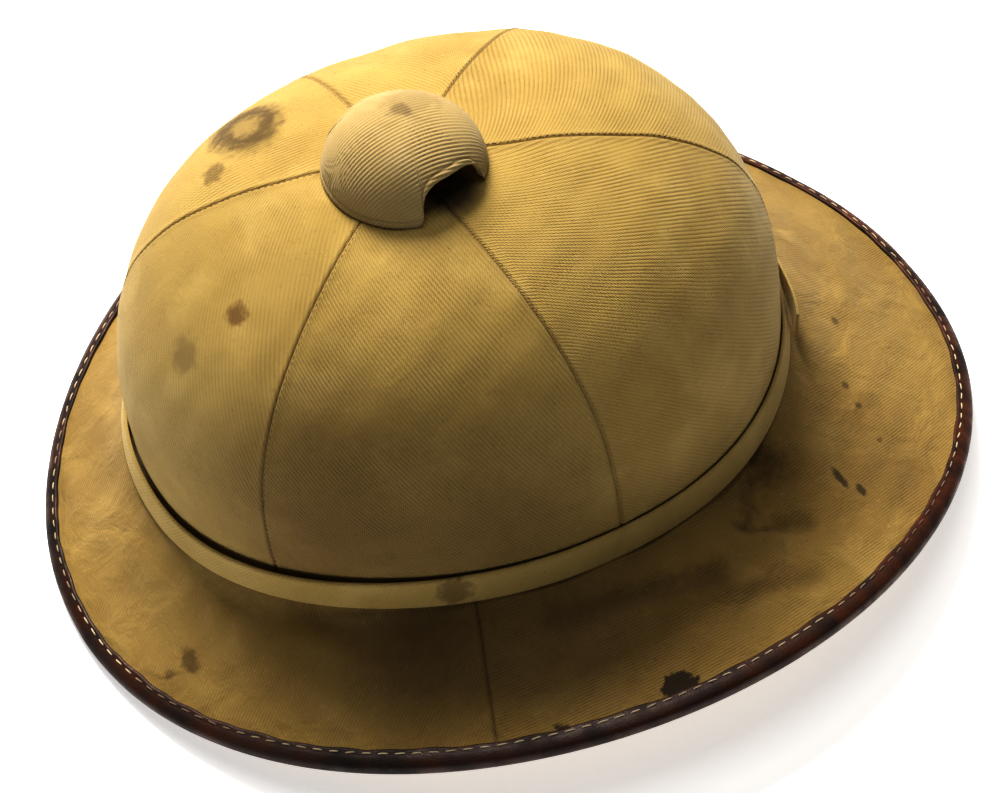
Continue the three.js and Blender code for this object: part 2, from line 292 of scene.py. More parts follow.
# Thread stitches as one joined mesh. Each runs from a start to an end, humped along its normal.
def threadRun(name, starts, ends, normals, radius, hump):
    stations = np.array([0.0, 0.1, 0.3, 0.7, 0.9, 1.0])
    widths = np.array([0.35, 0.8, 1.0, 1.0, 0.8, 0.35]) * radius
    heights = hump * np.sin(stations * math.pi) ** 0.7 - 0.35 * radius
    sides = 6
    along = unit(ends - starts)
    across = unit(np.cross(normals, along))
    middle = starts[:, None] + (ends - starts)[:, None] * stations[None, :, None]
    middle = middle + normals[:, None] * heights[None, :, None]
    turns = np.arange(sides) * 2 * math.pi / sides
    ring = across[:, None, None] * np.cos(turns)[None, None, :, None]
    ring = ring + normals[:, None, None] * np.sin(turns)[None, None, :, None]
    points = middle[:, :, None] + ring * widths[None, :, None, None]
    faces = []
    for s in range(len(stations) - 1):
        for k in range(sides):
            m = (k + 1) % sides
            faces.append([s * sides + k, s * sides + m, (s + 1) * sides + m, (s + 1) * sides + k])
    last = (len(stations) - 1) * sides
    faces.append(list(range(sides))[::-1])
    faces.append([last + k for k in range(sides)])
    block = len(stations) * sides
    allFaces = [[v + block * i for v in face] for i in range(len(starts)) for face in faces]
    mesh = bpy.data.meshes.new(name)
    mesh.from_pydata(points.reshape(-1, 3).tolist(), [], allFaces)
    return finishMesh(name, mesh, 60)


# Points at even spacing along a line of points, with the line's values read there.
def walkLine(points, *values, pitch, margin=0.0):
    lengths = np.concatenate([[0], np.cumsum(np.linalg.norm(np.diff(points, axis=0), axis=1))])
    stops = np.arange(margin, lengths[-1] - margin, pitch)
    read = lambda column: np.interp(stops, lengths, column)
    return [np.stack([read(v[:, c]) for c in range(v.shape[1])], -1) for v in (points, *values)]


def stitchLine(points, normals, pitch, length, margin=0.002, wander=0.0, seed=1):
    where, up = walkLine(points, normals, pitch=pitch / 8, margin=margin)
    steps = max(int(round(length / pitch * 8)), 1)
    first = np.arange(0, len(where) - steps, 8)
    loose = np.random.default_rng(seed).normal(0, wander, (len(first), 3)) if wander else 0
    return where[first] + loose, where[first + steps] - loose, unit(up[first])


def place(piece, material, node):
    piece.data.materials.clear()
    piece.data.materials.append(material)
    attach(piece, "root")
    if node:
        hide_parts(node)


def newMaterial(name, roughness, sheen=0.0):
    material = bpy.data.materials.new(name)
    material.use_nodes = True
    tree = material.node_tree
    shader = tree.nodes["Principled BSDF"]
    shader.inputs["Roughness"].default_value = roughness
    shader.inputs["Sheen Weight"].default_value = sheen
    shader.inputs["Sheen Roughness"].default_value = 0.45
    shader.inputs["Sheen Tint"].default_value = (1.0, 0.90, 0.70, 1)
    return material, tree, shader


def add(tree, kind, inputs=None, **settings):
    node = tree.nodes.new("ShaderNode" + kind)
    for key, value in settings.items():
        setattr(node, key, value)
    for key, value in (inputs or {}).items():
        if isinstance(value, bpy.types.NodeSocket):
            tree.links.new(value, node.inputs[key])
        else:
            node.inputs[key].default_value = value
    return node


def vectors(tree, operation, first, second=(0, 0, 0)):
    node = add(tree, "VectorMath", {0: first, 1: second}, operation=operation)
    return node.outputs["Value" if operation in ("DOT_PRODUCT", "LENGTH") else "Vector"]


def sums(tree, operation, *values):
    return add(tree, "Math", dict(enumerate(values)), operation=operation).outputs[0]


def spread(tree, value, low, high, to=(0.0, 1.0)):
    inputs = {"Value": value, 1: low, 2: high, 3: to[0], 4: to[1]}
    return add(tree, "MapRange", inputs, interpolation_type="SMOOTHSTEP").outputs[0]


def mixed(tree, factor, below, above, kind="MIX"):
    rgba = lambda c: c if isinstance(c, bpy.types.NodeSocket) else (*c, 1.0)
    inputs = {0: factor, 6: rgba(below), 7: rgba(above)}
    return add(tree, "Mix", inputs, data_type="RGBA", blend_type=kind).outputs[2]


def noise(tree, where, size, detail=3.0, distortion=0.0):
    inputs = {"Vector": where, "Scale": 1 / size, "Detail": detail, "Distortion": distortion}
    return add(tree, "TexNoise", inputs).outputs["Fac"]


# Twill: rounded ribs across the second weave coordinate, each built of short slanted yarns.
twill = {"swaySize": 0.02, "slant": 1.4, "yarnRelief": 0.25, "rubbedSize": 0.014, "rubbedLeast": 0.45}


def twillHeight(tree, weave, where, yarnStep, sway):
    parts = add(tree, "SeparateXYZ", {0: weave}).outputs
    drift = sums(tree, "MULTIPLY", noise(tree, where, twill["swaySize"], 2.0), sway)
    across = sums(tree, "ADD", parts[1], drift)
    wave = sums(tree, "ABSOLUTE", sums(tree, "SINE", sums(tree, "MULTIPLY", across, math.pi)))
    rib = sums(tree, "POWER", wave, 0.75)
    stagger = sums(tree, "MULTIPLY", across, twill["slant"])
    yarns = sums(tree, "ADD", sums(tree, "DIVIDE", parts[0], yarnStep), stagger)
    yarn = sums(tree, "SINE", sums(tree, "MULTIPLY", yarns, 2 * math.pi))
    rubbed = noise(tree, where, twill["rubbedSize"], 4.0)
    firm = spread(tree, rubbed, 0.3, 0.7, (twill["rubbedLeast"], 1.0))
    ribbed = sums(tree, "MULTIPLY", rib, firm)
    height = sums(tree, "ADD", ribbed, sums(tree, "MULTIPLY", yarn, twill["yarnRelief"]))
    groove = sums(tree, "MULTIPLY", sums(tree, "SUBTRACT", 1.0, rib), firm)
    return groove, height


# Marks on a finish, each with a place in space, a size, a ragged edge and a tint. One with "to"
# is a streak that ends there, and one with "ring" is paler in its middle.
markGrain = 330  # lumps of a ragged edge in a metre


def marked(tree, where, colour, marks):
    lumps = add(tree, "TexNoise", {"Vector": where, "Scale": markGrain, "Detail": 7.0}).outputs["Color"]
    shift = vectors(tree, "SUBTRACT", lumps, (0.5, 0.5, 0.5))
    for mark in marks:
        size = mark["size"]
        start = Vector(mark["at"])
        wander = [mark.get("ragged", 1.3) * size] * 3
        away = vectors(tree, "ADD", where, vectors(tree, "MULTIPLY", shift, wander))
        away = vectors(tree, "SUBTRACT", away, start)
        if "to" in mark:
            run = Vector(mark["to"]) - start
            share = vectors(tree, "DOT_PRODUCT", away, run / run.length_squared)
            share = add(tree, "Clamp", {"Value": share}).outputs[0]
            away = vectors(tree, "SUBTRACT", away, vectors(tree, "MULTIPLY", run, share))
        far = vectors(tree, "LENGTH", vectors(tree, "MULTIPLY", away, mark.get("squeeze", (1, 1, 1))))
        near = spread(tree, far, size, size * mark.get("core", 0.45))
        if "ring" in mark:
            hole = spread(tree, far, size * 0.15, size * 0.5, (1 - mark["ring"], 1.0))
            near = sums(tree, "MULTIPLY", near, hole)
        near = sums(tree, "MULTIPLY", near, mark["strength"])
        colour = mixed(tree, near, colour, mark["tint"], "MULTIPLY")
    return colour


def clothMaterial(look, marks):
    material, tree, shader = newMaterial(look["name"], look["roughness"], look["sheen"])
    where = add(tree, "TexCoord").outputs["Object"]
    weave = add(tree, "UVMap", uv_map="weave").outputs[0]
    edge = add(tree, "SeparateXYZ", {0: add(tree, "UVMap", uv_map="edge").outputs[0]}).outputs
    hollow, height = twillHeight(tree, weave, where, look["yarnStep"], look["ribSway"])
    blotch = noise(tree, where, look["blotchSize"], 5.0, 0.4)
    colour = mixed(tree, spread(tree, blotch, 0.3, 0.62), look["dark"], look["mid"])
    pale = noise(tree, where, look["blotchSize"] * 0.45, 4.0, 0.2)
    colour = mixed(tree, spread(tree, pale, 0.48, 0.72), colour, look["light"])
    fleck = noise(tree, where, 0.0009, 3.0)
    fleck = spread(tree, fleck, 0.58, 0.8, (0.0, look["fleck"]))
    colour = mixed(tree, fleck, colour, look["speck"], "MULTIPLY")
    dry = noise(tree, where, 0.0013, 3.0)
    colour = mixed(tree, spread(tree, dry, 0.6, 0.85, (0.0, look["fleck"])), colour, look["lint"])
    # painted shade in the hollows between the ribs
    groove = sums(tree, "MULTIPLY", hollow, look["paintedGrooveShade"])
    colour = mixed(tree, groove, colour, look["groove"], "MULTIPLY")
    # dirt caught along the seams
    seam = spread(tree, edge[0], 0.0016, 0.0003, (0.0, look["seamDark"]))
    colour = mixed(tree, seam, colour, look["groove"], "MULTIPLY")
    colour = marked(tree, where, colour, marks)
    tree.links.new(colour, shader.inputs["Base Color"])
    fuzz = noise(tree, where, 0.0006, 2.0)
    relief = sums(tree, "ADD", height, sums(tree, "MULTIPLY", fuzz, look["fuzz"]))
    bump = add(tree, "Bump", {"Height": relief, "Strength": look["bump"], "Distance": look["ribHeight"]})
    # the cloth's own slackness, wider than its ribs
    slack = noise(tree, where, 0.016, 4.0, 0.6)
    crumple = add(tree, "Bump", {"Height": slack, "Strength": 1.0, "Distance": look["crumple"],
                                 "Normal": bump.outputs[0]})
    tree.links.new(crumple.outputs[0], shader.inputs["Normal"])
    return material


def threadMaterial(name, pale, dark, patch=0.006):
    material, tree, shader = newMaterial(name, 0.8, 0.2)
    where = add(tree, "TexCoord").outputs["Object"]
    colour = mixed(tree, spread(tree, noise(tree, where, patch), 0.38, 0.62), dark, pale)
    tree.links.new(colour, shader.inputs["Base Color"])
    bump = add(tree, "Bump", {"Height": noise(tree, where, 0.0002), "Strength": 0.5, "Distance": 0.0001})
    tree.links.new(bump.outputs[0], shader.inputs["Normal"])
    return material


# tints for the marks: the first three serve real stains and soil and also painted shade, the last only painted
# shadow
grimeAndShade = (0.30, 0.25, 0.19)
inkAndShade = (0.10, 0.085, 0.07)
shadeAndSoil = (0.45, 0.38, 0.30)
paintedShadowTint = (0.26, 0.215, 0.17)

# The shell of pith, bare inside and under the brim.
shellLook = {"light": (0.47, 0.345, 0.19), "dark": (0.30, 0.20, 0.10), "poreSize": 0.0022}


def pithMaterial():
    material, tree, shader = newMaterial("bare pith", 0.92, 0.05)
    where = add(tree, "TexCoord").outputs["Object"]
    tone = spread(tree, noise(tree, where, 0.03, 5.0), 0.3, 0.7)
    colour = mixed(tree, tone, shellLook["dark"], shellLook["light"])
    cells = add(tree, "TexVoronoi", {"Vector": where, "Scale": 1 / shellLook["poreSize"]})
    pores = spread(tree, cells.outputs["Distance"], 0.28, 0.05)
    colour = mixed(tree, sums(tree, "MULTIPLY", pores, 0.5), colour, shellLook["dark"])
    tree.links.new(colour, shader.inputs["Base Color"])
    grain = sums(tree, "ADD", sums(tree, "MULTIPLY", pores, -1.0), noise(tree, where, 0.001, 3.0))
    bump = add(tree, "Bump", {"Height": grain, "Strength": 0.6, "Distance": 0.0003})
    tree.links.new(bump.outputs[0], shader.inputs["Normal"])
    return material


def makeShell():
    around = np.arange(0, 360, 1.5)[:, None]
    steps = np.linspace(0, 1, 40)[None, :]
    rise = np.concatenate([topRise(around) * (1 - steps), np.full((len(around), 1), -1.0)], 1)
    under = layers["cloth"] + layers["gap"]
    outs = np.linspace(0, 1, 30)[None, :]
    thick = layers["brimEdge"] + (layers["brimRoot"] - layers["brimEdge"]) * (1 - outs) ** 2
    sections = np.concatenate([
        crownPoint(around, rise, under),
        brimPoint(around, outs, under),
        brimPoint(around, outs, under + thick)[:, ::-1],
        crownPoint(around, rise, under + layers["shellWall"])[:, ::-1],
    ], 1)
    piece = loft("pithShell", sections, closedRound=True, sharp=50)
    place(piece, pithMaterial(), "shell")
    return piece


shell = makeShell()
print("shell made")

# Crown: six gores of twill, their edges turned under along each seam.
gores = [
    {"name": "rearLeftGore", "node": "gore_rear_left", "from": 17, "to": 84.5,
     "ribAngle": -49, "ribPitch": 0.00142},
    {"name": "frontLeftGore", "node": "gore_front_left", "from": 84.5, "to": 145,
     "ribAngle": -56, "ribPitch": 0.0012},
    {"name": "frontGore", "node": "gore_front", "from": 145, "to": 211,
     "ribAngle": -51, "ribPitch": 0.00125},
    {"name": "frontRightGore", "node": "gore_front_right", "from": 211, "to": 269,
     "ribAngle": -52, "ribPitch": 0.0013},
    {"name": "rearRightGore", "node": "gore_rear_right", "from": 269, "to": 317,
     "ribAngle": -48, "ribPitch": 0.0013},
    {"name": "rearGore", "node": "gore_rear", "from": 317, "to": 377,
     "ribAngle": -47, "ribPitch": 0.00135},
]
crownLook = {
    "name": "crown twill",
    "light": (0.510, 0.367, 0.118),
    "mid": (0.475, 0.337, 0.100),
    "dark": (0.425, 0.294, 0.080),
    "lint": (0.66, 0.53, 0.26),
    "speck": (0.30, 0.24, 0.16),
    "groove": (0.42, 0.34, 0.24),
    "roughness": 0.88,
    "sheen": 0.2,
    "yarnStep": 0.7,  # length of a yarn on a rib, in ribs
    "ribSway": 0.6,
    "ribHeight": 0.0002,
    "bump": 0.8,
    "fuzz": 0.5,
    "crumple": 0.0006,
    "paintedGrooveShade": 0.5,
    "fleck": 0.45,
    "seamDark": 0.28,
    "blotchSize": 0.05,
}
seamShape = {
    "ridge": 0.00024,
    "ridgeAt": 0.0013,
    "ridgeWide": 0.0009,
    "roll": 0.00034,
    "rollWide": 0.0005,
    "apart": 0.00004,
}
seamStitch = {"pitch": 0.0022, "length": 0.0011, "radius": 0.00012, "offset": 0.0007}
# marks on the crown: stains and spots, and painted shade on its lower front and under the ventilator's arch
crownMarks = [
    {"at": (-0.0640, -0.0665, 0.1318), "size": 0.021, "strength": 1.0, "tint": (0.27, 0.23, 0.17), "ring": 0.6,
     "ragged": 0.5, "squeeze": (0.8, 1.35, 1)},
    {"at": (-0.0489, -0.0846, 0.1315), "size": 0.0065, "strength": 0.75, "tint": (0.38, 0.32, 0.24)},
    {"at": (0.0051, -0.1038, 0.1268), "size": 0.005, "strength": 0.85, "tint": (0.38, 0.25, 0.14)},
    {"at": (-0.0005, -0.1206, 0.1117), "size": 0.008, "strength": 0.45, "tint": grimeAndShade},
    # painted shade: two broad soft darkenings of the crown's lower front, which turns away from the light
    {"at": (0.0900, -0.0500, 0.0760), "size": 0.060, "strength": 0.85, "tint": shadeAndSoil, "ragged": 0.2, "core": 0.0},
    {"at": (0.0620, -0.1000, 0.0800), "size": 0.070, "strength": 0.95, "tint": shadeAndSoil, "ragged": 0.2, "core": 0.0},
    # painted shade under the ventilator's arch
    {"at": (0.0090, -0.0300, 0.1480), "size": 0.013, "strength": 0.95, "tint": inkAndShade, "ragged": 0.2, "core": 0.4},
]


# how far the cloth stands above the skin at a distance from its seam
def seamRelief(distance):
    ridge = seamShape["ridge"] * bell(distance - seamShape["ridgeAt"], seamShape["ridgeWide"])
    return ridge - seamShape["roll"] * (1 - smooth(distance / seamShape["rollWide"]))


# Angles across a panel at each row: close together beside the seams, even between them.
def panelColumns(start, end, widths, middleCount):
    near = np.array([0, 0.00015, 0.0003, 0.0005, 0.0008, 0.0011, 0.0015, 0.002, 0.0028, 0.004])
    scale = np.minimum(1, widths / (near[-1] * 2.6))
    side = near[:, None] * scale[None, :] / widths[None, :]
    inner = np.linspace(0, 1, middleCount + 2)[1:-1, None]
    middle = side[-1] + (1 - 2 * side[-1])[None, :] * inner
    share = np.vstack([side, middle, 1 - side[::-1]])
    return start + (end - start) * share, np.minimum(share, 1 - share) * widths[None, :]


# leaves a hair's breadth open beside each seam
def openSeams(around, start, end, widths):
    apart = seamShape["apart"] / np.maximum(widths, 0.01) * (end - start)
    return around - (around - (start + end) / 2) / (end - start) * 2 * apart


def rowWidths(pointAt, start, end, rows):
    angles = np.linspace(start, end, 25)[:, None]
    lines = pointAt(angles, rows)
    return np.linalg.norm(np.diff(lines, axis=0), axis=-1).sum(0)


# Weave coordinates, counted in ribs: along the ribs, and across them.
def weaveOf(lie, ribAngle, ribPitch, bend=0.0):
    turn = math.radians(ribAngle)
    along = lie[..., 0] * math.cos(turn) + lie[..., 1] * math.sin(turn)
    across = lie[..., 1] * math.cos(turn) - lie[..., 0] * math.sin(turn) + bend * lie[..., 1] ** 2
    return np.stack([along, across], -1) / ribPitch


def makeGore(gore, material):
    start, end = gore["from"], gore["to"]
    shares = np.concatenate([1 - np.linspace(0, 1, 92), [-0.35, -0.7, -1.0]])
    rows = np.where(shares > 0, shares * topRise(np.array((start + end) / 2)), shares)
    widths = rowWidths(crownSkin, start, end, rows[None, :])
    around, distance = panelColumns(start, end, widths, 30)
    rise = np.where(shares > 0, shares * topRise(around[:, :1]), shares)
    around = openSeams(around, start, end, widths)
    outside = crownPoint(around, rise, -seamRelief(distance))
    inside = crownPoint(around, rise, layers["cloth"])
    lie = flatCloth(outside)
    weave = weaveOf(lie, gore["ribAngle"], gore["ribPitch"])
    edge = np.stack([distance, np.broadcast_to(lie[len(lie) // 2, :, 1], distance.shape)], -1)
    maps = {"weave": wrapped(weave, weave), "edge": wrapped(edge, edge)}
    piece = loft(gore["name"], wrapped(outside, inside), maps=maps, sharp=50)
    place(piece, material, gore["node"])
    return piece


# Flat coordinates of a panel, in metres: along its rows from the middle, and down its middle line.
def flatCloth(grid):
    half = len(grid) // 2
    steps = np.linalg.norm(np.diff(grid, axis=0), axis=-1)
    along = np.concatenate([np.zeros((1, grid.shape[1])), np.cumsum(steps, axis=0)])
    drop = np.linalg.norm(np.diff(grid[half], axis=0), axis=-1)
    down = np.concatenate([[0], np.cumsum(drop)])
    return np.stack([along - along[half], np.broadcast_to(down, along.shape)], -1)


crownTwill = clothMaterial(crownLook, crownMarks)
for gore in gores:
    makeGore(gore, crownTwill)


# dark thread lying along one side of every crown seam
def makeSeamStitches():
    runs = []
    rise = np.linspace(0.005, 0.99, 160)
    top = crownTop(np.array(0.0), 0.0)
    pitch, length, thick = seamStitch["pitch"], seamStitch["length"], seamStitch["radius"]
    lift = seamRelief(seamStitch["offset"]) + thick * 0.2
    for number, gore in enumerate(gores):
        radius = np.linalg.norm((crownSkin(gore["from"], rise) - top)[:, :2], axis=1)
        around = gore["from"] - np.degrees(seamStitch["offset"] / np.maximum(radius, 0.01))
        height = topRise(np.array(float(gore["from"]))) * rise
        line = crownPoint(around, height, -lift)
        up = skinNormal(crownSkin, around, height, -1, 1)
        runs.append(stitchLine(line, up, pitch, length, 0.001, 0.00005, number))
    starts, ends, normals = [np.vstack(column) for column in zip(*runs)]
    stitches = threadRun("crownSeamStitches", starts, ends, normals, thick, thick * 0.6)
    thread = threadMaterial("brown thread", (0.24, 0.16, 0.07), (0.10, 0.065, 0.03))
    place(stitches, thread, None)
    return stitches


makeSeamStitches()
print("crown gores made")

# Brim: two covers of the same twill, joined at the sides.
brimCovers = [
    {"name": "frontBrimCover", "node": "brim_cover_front", "from": 109, "to": 251,
     "ribAngle": -56, "bend": 0.0},
    {"name": "rearBrimCover", "node": "brim_cover_rear", "from": 251, "to": 469,
     "ribAngle": -88, "bend": 1.22},
]
brimLook = dict(crownLook, name="brim twill", light=(0.425, 0.290, 0.088), mid=(0.385, 0.257, 0.072),
                dark=(0.335, 0.216, 0.057), ribHeight=0.00015, blotchSize=0.04, crumple=0.0022)
brimRibPitch = 0.00104
# marks on the brim: spots, stains and scratches, broad soft darkenings, the crown's painted shadow, and painted
# shade in the dent and along the folds
brimMarks = [
    {"at": (0.0441, -0.1497, 0.0167), "size": 0.005, "strength": 0.75, "tint": grimeAndShade, "squeeze": (0.7, 1.4, 1)},
    {"at": (0.0425, -0.1569, 0.0124), "size": 0.003, "strength": 0.6, "tint": grimeAndShade},
    {"at": (0.1430, -0.0206, 0.0347), "size": 0.0075, "strength": 1.0, "tint": inkAndShade, "core": 0.75},
    {"at": (0.1373, -0.0613, 0.0319), "size": 0.005, "strength": 0.9, "tint": inkAndShade, "core": 0.7},
    {"at": (0.0371, 0.1161, 0.0310), "size": 0.0021, "strength": 0.75, "tint": grimeAndShade},
    {"at": (0.0641, 0.1012, 0.0309), "size": 0.0020, "strength": 0.75, "tint": grimeAndShade},
    {"at": (0.0730, 0.1007, 0.0293), "size": 0.0018, "strength": 0.7, "tint": grimeAndShade},
    {"at": (0.0886, 0.0992, 0.0273), "size": 0.0016, "strength": 0.7, "tint": grimeAndShade},
    {"at": (0.0978, 0.0746, 0.0318), "size": 0.0026, "strength": 0.85, "tint": inkAndShade, "squeeze": (0.4, 1.3, 1)},
    {"at": (0.1049, 0.0790, 0.0301), "size": 0.0020, "strength": 0.8, "tint": inkAndShade, "squeeze": (0.5, 1.2, 1)},
    # painted shade in the dent below the band
    {"at": (0.0840, 0.0560, 0.0380), "size": 0.016, "strength": 0.6, "tint": grimeAndShade, "core": 0.0, "ragged": 0.8},
    # broad soft darkenings across the brim's left side
    {"at": (0.1040, 0.0400, 0.0340), "size": 0.046, "strength": 0.2, "tint": shadeAndSoil, "core": 0.0, "ragged": 0.4},
    {"at": (0.1250, -0.0060, 0.0350), "size": 0.056, "strength": 0.45, "tint": shadeAndSoil, "core": 0.0, "ragged": 0.3},
    # painted shadow cast by the crown over the brim's front
    {"at": (0.0880, -0.0860, 0.0350), "size": 0.048, "strength": 0.85, "tint": paintedShadowTint, "core": 0.0, "ragged": 0.2},
    {"at": (0.1120, -0.0480, 0.0350), "size": 0.050, "strength": 0.6, "tint": paintedShadowTint, "core": 0.0, "ragged": 0.2},
    # another broad soft darkening, towards the brim's left rear
    {"at": (0.0950, 0.0960, 0.0280), "size": 0.046, "strength": 0.4, "tint": shadeAndSoil, "core": 0.0, "ragged": 0.3},
    {"at": (0.0050, -0.1550, 0.0200), "size": 0.012, "strength": 0.3, "tint": grimeAndShade, "core": 0.0},
    # painted shade: dark streaks along the brim's folds
    {"at": (0.0820, 0.0530, 0.0385), "to": (0.0985, 0.0370, 0.0350), "size": 0.0085, "strength": 0.7, "tint": shadeAndSoil,
     "core": 0.1},
    {"at": (0.0995, 0.0330, 0.0346), "to": (0.1085, 0.0540, 0.0332), "size": 0.0050, "strength": 0.75, "tint": grimeAndShade,
     "core": 0.0, "ragged": 0.5},
    {"at": (0.1010, -0.0420, 0.0365), "to": (0.1130, 0.0120, 0.0360), "size": 0.0100, "strength": 0.5, "tint": grimeAndShade,
     "core": 0.0, "ragged": 0.6},
    {"at": (0.1200, 0.0120, 0.0345), "to": (0.1270, 0.0420, 0.0325), "size": 0.0080, "strength": 0.45, "tint": shadeAndSoil,
     "core": 0.0, "ragged": 0.6},
]


def makeBrimCover(cover, material):
    start, end = cover["from"], cover["to"]
    rows = np.linspace(0, 1, 60) ** 0.9
    widths = rowWidths(brimSkin, start, end, rows[None, :])
    around, distance = panelColumns(start, end, widths, int((end - start) * 0.9))
    around = openSeams(around, start, end, widths)
    outs = np.broadcast_to(rows, around.shape)
    outside = brimPoint(around, outs, -seamRelief(distance))
    inside = brimPoint(around, outs, layers["cloth"])
    lie = outside[..., :2]  # the cloth lies nearly flat, so its weave is straight in plan
    weave = weaveOf(lie, cover["ribAngle"], brimRibPitch, cover["bend"])
    edge = np.stack([distance, np.broadcast_to(rows, distance.shape)], -1)
    maps = {"weave": wrapped(weave, weave), "edge": wrapped(edge, edge)}
    piece = loft(cover["name"], wrapped(outside, inside), maps=maps, sharp=50)
    place(piece, material, cover["node"])
    return piece


brimTwill = clothMaterial(brimLook, brimMarks)
for cover in brimCovers:
    makeBrimCover(cover, brimTwill)
print("brim covers made")

# Hat band: a strip folded along its top edge, its end lapped over its start.
band = {
    "thick": 0.0011,
    "topGap": 0.0005,
    "frontGape": 0.0016,
    "gapeAt": 152,
    "gapeSpread": 40,
    "foot": 0.0032,
    "height": 0.0113,
    "start": 14,
    "end": 388,
    "lapFrom": 364,
    "lapLift": 0.0019,
    "endBulge": 0.003,
    "ribAngle": 48,
    "ribPitch": 0.0011,
}
bandLook = dict(crownLook, name="band twill", light=(0.590, 0.435, 0.155), mid=(0.555, 0.403, 0.132),
                dark=(0.49, 0.345, 0.102), ribHeight=0.00012, paintedGrooveShade=0.3)
# marks on the band
bandMarks = [
    {"at": (0.0825, -0.0702, 0.0482), "size": 0.008, "strength": 0.7, "tint": grimeAndShade},
]


def bandLift(around):
    end = smooth((around - band["lapFrom"] - 8) / (band["end"] - band["lapFrom"] - 8))
    return band["lapLift"] * smooth((around - band["lapFrom"]) / 12) + band["endBulge"] * end


def bandPoint(around, share, extra):
    gape = band["frontGape"] * bell(turnApart(around, band["gapeAt"]), band["gapeSpread"])
    stand = band["topGap"] + gape
    out = stand * (1 - share) + band["foot"] * share + bandLift(around) * (1 - 0.5 * share) + extra
    return besideBase(around, out, band["height"] * share)


def makeBand():
    around = np.linspace(band["start"], band["end"], 760)[:, None]
    shares = np.array([0.0, 0.02, 0.05, 0.09, 0.15, 0.28, 0.45, 0.62, 0.8, 0.92, 1.0])[None, :]
    # the folded top edge is a little thicker than the strip below it
    roll = np.array([0.35, 0.7, 0.95, 1.08, 1.05, 0.92, 0.96, 1.0, 1.0, 0.98, 0.9])[None, :]
    roll = roll * band["thick"]
    outside = bandPoint(around, shares, roll)
    inside = bandPoint(around, shares, np.where(shares < 0.04, band["thick"] * 0.12, 0.0))
    middle = outside[:, 5]
    length = np.concatenate([[0], np.cumsum(np.linalg.norm(np.diff(middle, axis=0), axis=-1))])
    lie = np.stack([np.broadcast_to(length[:, None], outside.shape[:2]),
                    np.broadcast_to(shares * band["height"], outside.shape[:2])], -1)
    weave = weaveOf(lie, band["ribAngle"], band["ribPitch"])
    edge = np.stack([lie[..., 1] + 0.002, lie[..., 0]], -1)
    maps = {"weave": wrapped(weave, weave), "edge": wrapped(edge, edge)}
    piece = loft("foldedHatBand", wrapped(outside, inside), maps=maps, sharp=60)
    place(piece, clothMaterial(bandLook, bandMarks), "hat_band")
    return piece


makeBand()
print("hat band made")

# Leather binding folded round the brim's edge, sewn with pale thread.
binding = {"cover": 0.005, "nose": 0.0019, "thick": 0.0011, "uneven": 0.0003}
bindingStitch = {"pitch": 0.0055, "length": 0.0036, "radius": 0.00027, "inset": 0.0036}
leatherLook = {
    "light": (0.12, 0.038, 0.017),
    "mid": (0.028, 0.011, 0.0065),
    "dark": (0.006, 0.0035, 0.0028),
}


def leatherMaterial():
    material, tree, shader = newMaterial("binding leather", 0.5)
    shader.inputs["Specular IOR Level"].default_value = 0.3
    where = add(tree, "TexCoord").outputs["Object"]
    worn = noise(tree, where, 0.06, 5.0, 0.4)
    colour = mixed(tree, spread(tree, worn, 0.4, 0.62), leatherLook["dark"], leatherLook["mid"])
    rub = noise(tree, where, 0.009, 6.0)
    # the pale patches grow more common towards the rear
    behind = spread(tree, add(tree, "SeparateXYZ", {0: where}).outputs[1], -0.03, 0.12, (0.4, 1.0))
    bare = sums(tree, "MULTIPLY", spread(tree, rub, 0.3, 0.72), behind)
    colour = mixed(tree, bare, colour, leatherLook["light"])
    tree.links.new(colour, shader.inputs["Base Color"])
    rough = spread(tree, rub, 0.3, 0.7, (0.62, 0.36))
    tree.links.new(rough, shader.inputs["Roughness"])
    cells = add(tree, "TexVoronoi", {"Vector": where, "Scale": 1900.0}).outputs["Distance"]
    grain = sums(tree, "ADD", cells, sums(tree, "MULTIPLY", noise(tree, where, 0.004, 4.0), 1.5))
    bump = add(tree, "Bump", {"Height": grain, "Strength": 0.35, "Distance": 0.0002})
    tree.links.new(bump.outputs[0], shader.inputs["Normal"])
    return material


# Points beside the brim's edge: so far outward from it, and so far up from its upper face.
def besideEdge(around, out, up):
    edge = brimSkin(around, 1.0)
    outward = unit(edge - brimSkin(around, 0.97))
    upward = skinNormal(brimSkin, around, 1.0, 0, 1)
    points = edge + outward * np.asarray(out)[..., None] + upward * np.asarray(up)[..., None]
    points[..., 2] = np.maximum(points[..., 2], 0)
    return points


